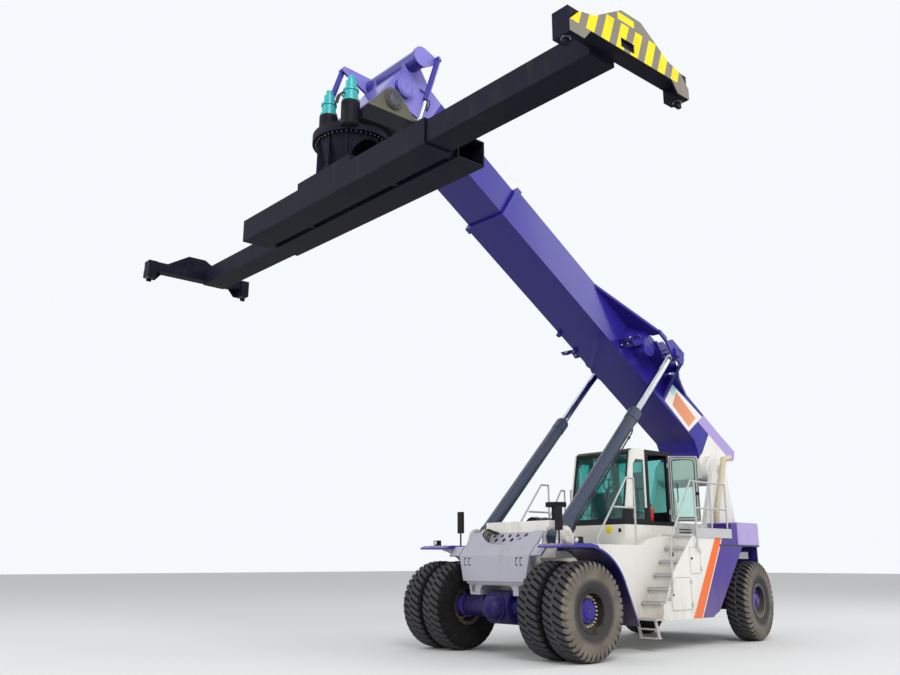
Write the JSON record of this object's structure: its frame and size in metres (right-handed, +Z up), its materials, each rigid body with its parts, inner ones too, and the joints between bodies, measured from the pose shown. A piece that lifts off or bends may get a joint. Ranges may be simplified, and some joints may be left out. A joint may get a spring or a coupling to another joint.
{
  "type": "container reach stacker",
  "caption": "Yard machine with a telescopic boom on twin lift cylinders and a slewing, extending spreader for containers.",
  "frame": {"origin": "on the ground under the middle of the machine's overall length and width", "axes": "+X forward over the driving axle towards the spreader, +Y to the machine's left, +Z up"},
  "size_m": [12.5266, 12.26, 10.935],
  "materials": {
    "violet_paint": "gloss",
    "white_paint": "gloss",
    "nose_paint": "gloss",
    "navy_paint": "satin",
    "grey_paint": "satin",
    "barrel_paint": "gloss",
    "teal_paint": "gloss",
    "cream_paint": "satin",
    "black_paint": "satin",
    "rail_paint": "satin",
    "engine_iron": "rough",
    "trim": "matte",
    "seat_cloth": "matte",
    "tyre": "matte",
    "chrome": "polished",
    "window_glass": "tinted"
  },
  "bodies": {
    "chassis": {"chassis_frame": "white_paint", "front_nose": "nose_paint", "side_bodies": "white_paint", "cab_base": "white_paint", "rear_fenders": "violet_paint", "counterweight": "violet_paint", "hood": "white_paint", "engine_block": "engine_iron", "front_fenders": "violet_paint", "steps": "rail_paint", "handrails": "rail_paint", "drive_axle": "violet_paint", "steer_axle": "violet_paint", "cab_shell": "black_paint", "cab_glass": "window_glass", "cab_interior": "trim", "seat": "seat_cloth", "exhaust": "cream_paint", "air_cleaner": "black_paint", "lamps_and_mirrors": "black_paint"},
    "door": {"cab_door": "rail_paint", "door_glass": "window_glass"},
    "drive_wheels_left": {"drive_tyres_left": "tyre", "drive_rims_left": "violet_paint"},
    "drive_wheels_right": {"drive_tyres_right": "tyre", "drive_rims_right": "violet_paint"},
    "steering_left": {"knuckle_left": "violet_paint"},
    "steering_right": {"knuckle_right": "violet_paint"},
    "steer_wheel_left": {"steer_tyre_left": "tyre", "steer_rim_left": "violet_paint"},
    "steer_wheel_right": {"steer_tyre_right": "tyre", "steer_rim_right": "violet_paint"},
    "boom": {"boom_outer": "violet_paint"},
    "boom_extension": {"boom_inner": "violet_paint", "boom_head": "violet_paint"},
    "lift_barrel_left": {"lift_barrel_left": "barrel_paint"},
    "lift_barrel_right": {"lift_barrel_right": "barrel_paint"},
    "lift_rod_left": {"lift_rod_left": "chrome"},
    "lift_rod_right": {"lift_rod_right": "chrome"},
    "yoke": {"yoke": "grey_paint", "slew_motors": "teal_paint"},
    "damper_barrel_left": {"damper_barrel_left": "violet_paint"},
    "damper_barrel_right": {"damper_barrel_right": "violet_paint"},
    "damper_rod_left": {"damper_rod_left": "chrome"},
    "damper_rod_right": {"damper_rod_right": "chrome"},
    "turntable": {"turntable": "navy_paint"},
    "spreader": {"spreader_frame": "navy_paint"},
    "arm_left": {"spreader_arm_left": "navy_paint"},
    "arm_right": {"spreader_arm_right": "navy_paint"}
  },
  "joints": [
    {"name": "drive_left", "type": "hinge", "parent": "chassis", "child": "drive_wheels_left", "pos_m": [1.33833, 1.54, 0.825], "axis": [0, 1, 0], "continuous": true},
    {"name": "drive_right", "type": "hinge", "parent": "chassis", "child": "drive_wheels_right", "pos_m": [1.33833, -1.54, 0.825], "axis": [0, 1, 0], "continuous": true},
    {"name": "steer_left", "type": "hinge", "parent": "chassis", "child": "steering_left", "pos_m": [-4.66167, 1.1, 0.825], "axis": [0, 0, 1], "range_deg": [-59, 41]},
    {"name": "steer_right", "type": "hinge", "parent": "chassis", "child": "steering_right", "pos_m": [-4.66167, -1.1, 0.825], "axis": [0, 0, 1], "range_deg": [-59, 41]},
    {"name": "roll_left", "type": "hinge", "parent": "steering_left", "child": "steer_wheel_left", "pos_m": [-4.66167, 1.1, 0.825], "axis": [-0.1564, 0.9877, 0], "continuous": true},
    {"name": "roll_right", "type": "hinge", "parent": "steering_right", "child": "steer_wheel_right", "pos_m": [-4.66167, -1.1, 0.825], "axis": [-0.1564, 0.9877, 0], "continuous": true},
    {"name": "cab_door_hinge", "type": "hinge", "parent": "chassis", "child": "door", "pos_m": [-2.85167, 0.775, 3.155], "axis": [0, 0, 1], "range_deg": [-140, 0]},
    {"name": "boom_lift", "type": "hinge", "parent": "chassis", "child": "boom", "pos_m": [-4.86167, 0, 3.7], "axis": [0, -1, 0], "range_deg": [-31, 27.5]},
    {"name": "boom_telescope", "type": "slide", "parent": "boom", "child": "boom_extension", "axis": [-0.8434, 0, -0.5373], "range_m": [-4.7, 2.28]},
    {"name": "lift_cylinder_left", "type": "hinge", "parent": "chassis", "child": "lift_barrel_left", "pos_m": [0.99833, 1, 2.07], "axis": [0, -1, 0], "range_deg": [-0.83, 0.77]},
    {"name": "lift_stroke_left", "type": "slide", "parent": "lift_barrel_left", "child": "lift_rod_left", "axis": [-0.698, 0, 0.7161], "range_m": [-1.6221, 1.4392]},
    {"name": "lift_cylinder_right", "type": "hinge", "parent": "chassis", "child": "lift_barrel_right", "pos_m": [0.99833, -1, 2.07], "axis": [0, -1, 0], "range_deg": [-0.83, 0.77]},
    {"name": "lift_stroke_right", "type": "slide", "parent": "lift_barrel_right", "child": "lift_rod_right", "axis": [-0.698, 0, 0.7161], "range_m": [-1.6221, 1.4392]},
    {"name": "spreader_level", "type": "hinge", "parent": "boom_extension", "child": "yoke", "pos_m": [4.75833, 0, 9.58], "axis": [0, -1, 0], "range_deg": [-27.8, 31.3]},
    {"name": "damper_swing_left", "type": "hinge", "parent": "boom_extension", "child": "damper_barrel_left", "pos_m": [3.78833, 0.86, 10.73], "axis": [0, -1, 0], "range_deg": [-2.41, 2.68]},
    {"name": "damper_stroke_left", "type": "slide", "parent": "damper_barrel_left", "child": "damper_rod_left", "axis": [0.3002, 0, -0.9539], "range_m": [-0.272, 0.3063]},
    {"name": "damper_swing_right", "type": "hinge", "parent": "boom_extension", "child": "damper_barrel_right", "pos_m": [4.76833, -0.86, 10.87], "axis": [0, -1, 0], "range_deg": [-7.18, 8.06]},
    {"name": "damper_stroke_right", "type": "slide", "parent": "damper_barrel_right", "child": "damper_rod_right", "axis": [0.3144, 0, -0.9493], "range_m": [-0.2316, 0.2057]},
    {"name": "spreader_slew", "type": "hinge", "parent": "yoke", "child": "turntable", "pos_m": [5.05833, 0, 9], "axis": [0, 0, 1], "range_deg": [-70, 30]},
    {"name": "side_shift", "type": "slide", "parent": "turntable", "child": "spreader", "axis": [0, 1, 0], "range_m": [-0.8, 0.8]},
    {"name": "arm_left", "type": "slide", "parent": "spreader", "child": "arm_left", "axis": [0, 1, 0], "range_m": [-3.066, 0]},
    {"name": "arm_right", "type": "slide", "parent": "spreader", "child": "arm_right", "axis": [0, 1, 0], "range_m": [0, 3.066]}
  ],
  "couplings": [
    {"joint": "steer_right", "follows": "steer_left", "ratio": 1},
    {"joint": "lift_cylinder_left", "follows": "boom_lift", "ratio": 0.01705},
    {"joint": "lift_stroke_left", "follows": "boom_lift", "m_per_rad": 2.9943},
    {"joint": "lift_cylinder_right", "follows": "boom_lift", "ratio": 0.01705},
    {"joint": "lift_stroke_right", "follows": "boom_lift", "m_per_rad": 2.9943},
    {"joint": "spreader_level", "follows": "boom_lift", "ratio": -1},
    {"joint": "damper_swing_left", "follows": "boom_lift", "ratio": -0.07683},
    {"joint": "damper_stroke_left", "follows": "boom_lift", "m_per_rad": -0.56249},
    {"joint": "damper_swing_right", "follows": "boom_lift", "ratio": -0.25034},
    {"joint": "damper_stroke_right", "follows": "boom_lift", "m_per_rad": 0.42431},
    {"joint": "arm_right", "follows": "arm_left", "ratio": -1}
  ]
}
